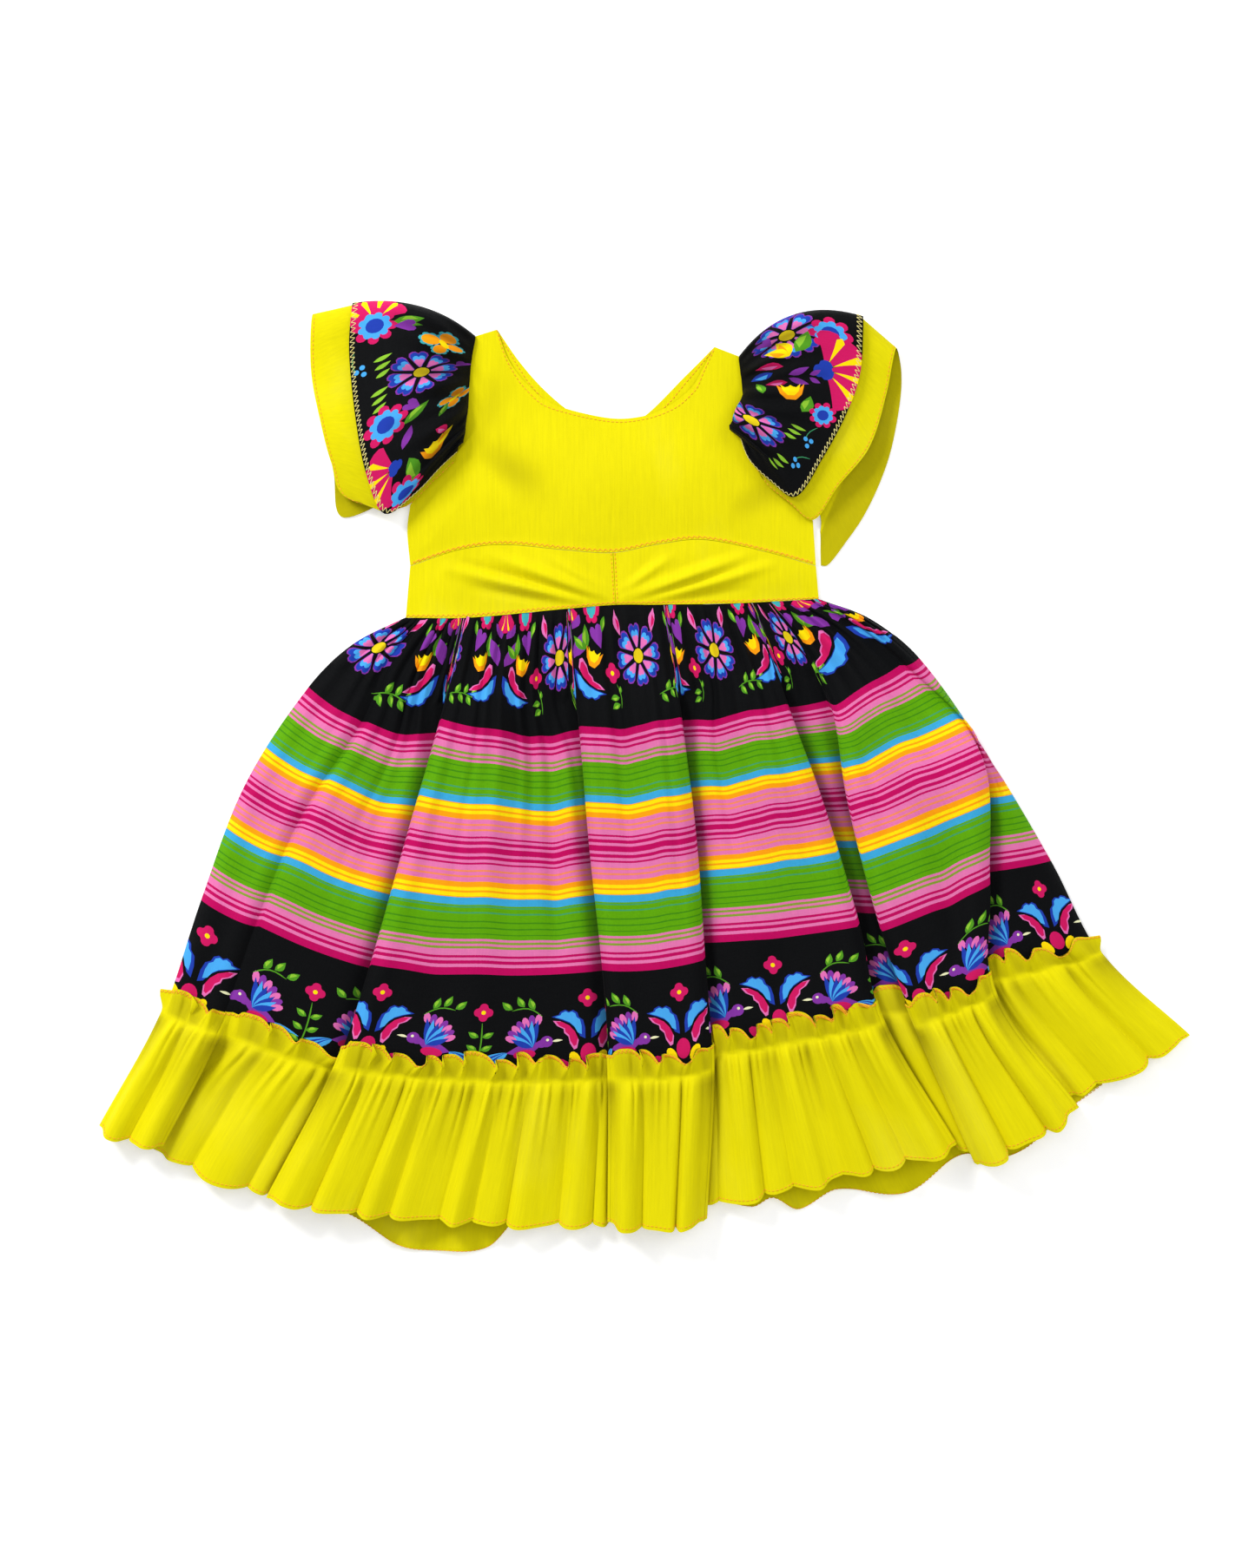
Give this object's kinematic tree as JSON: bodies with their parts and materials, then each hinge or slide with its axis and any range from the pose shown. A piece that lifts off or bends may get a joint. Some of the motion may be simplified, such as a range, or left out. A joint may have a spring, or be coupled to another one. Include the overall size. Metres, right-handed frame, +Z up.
{
  "type": "child's folklorico dress laid flat",
  "caption": "Child's folk dance dress laid flat, front up: yellow bodice with double flutter sleeves, gathered skirt with floral borders and a striped band, headed hem ruffle.",
  "frame": {"origin": "middle of the dress's outline, on the surface it lies on", "axes": "+X to the right of the front view, +Y from hem to neck, +Z up from the surface"},
  "size_m": [0.7506, 0.655, 0.0259],
  "materials": {
    "yellow_cotton": "plain-woven cotton with a slight sheen",
    "skirt_print": "smooth printed cloth: black floral borders and a band of bright stripes",
    "sleeve_print": "smooth black cloth printed with bright flowers"
  },
  "bodies": {
    "root": {"bodice_front": "yellow_cotton", "bodice_back": "yellow_cotton", "waistband_front_right": "yellow_cotton", "waistband_front_left": "yellow_cotton", "waistband_back": "yellow_cotton", "skirt_front": "skirt_print", "skirt_back": "skirt_print", "ruffle_front": "yellow_cotton", "ruffle_back": "yellow_cotton", "sleeve_right_print": "sleeve_print", "sleeve_right_under": "yellow_cotton", "sleeve_left_print": "sleeve_print", "sleeve_left_under": "yellow_cotton"}
  },
  "joints": []
}
